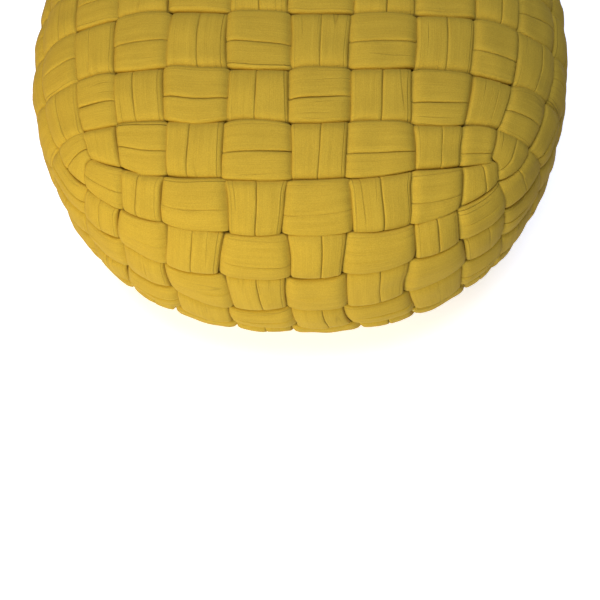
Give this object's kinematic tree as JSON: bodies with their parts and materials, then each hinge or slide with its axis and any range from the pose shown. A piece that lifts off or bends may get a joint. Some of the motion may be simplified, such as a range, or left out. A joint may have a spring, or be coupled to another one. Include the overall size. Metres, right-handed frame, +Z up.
{
  "type": "woven footstool",
  "caption": "Squat round floor pouf covered by a basket weave of wide, paired, stuffed jersey tubes, for resting feet on.",
  "frame": {"origin": "middle of the underside, on the floor", "axes": "+Z up; -Y towards the camera side, which the long strips run to over the seat; +X to the right"},
  "size_m": [0.5398, 0.5598, 0.315],
  "materials": {
    "jersey": "matt mustard-yellow knitted jersey",
    "ground_cloth": "dark matt woven cloth"
  },
  "bodies": {
    "root": {"InnerCushion": "ground_cloth", "StripLong_1": "jersey", "StripLong_2": "jersey", "StripLong_3": "jersey", "StripLong_4": "jersey", "StripLong_5": "jersey", "StripLong_6": "jersey", "StripLong_7": "jersey", "StripLong_8": "jersey", "StripCross_1": "jersey", "StripCross_2": "jersey", "StripCross_3": "jersey", "StripCross_4": "jersey", "StripCross_5": "jersey", "StripCross_6": "jersey", "StripCross_7": "jersey", "StripCross_8": "jersey", "StripGirth_1": "jersey", "StripGirth_2": "jersey", "StripGirth_3": "jersey", "StripGirth_4": "jersey", "StripGirth_5": "jersey"}
  },
  "joints": []
}
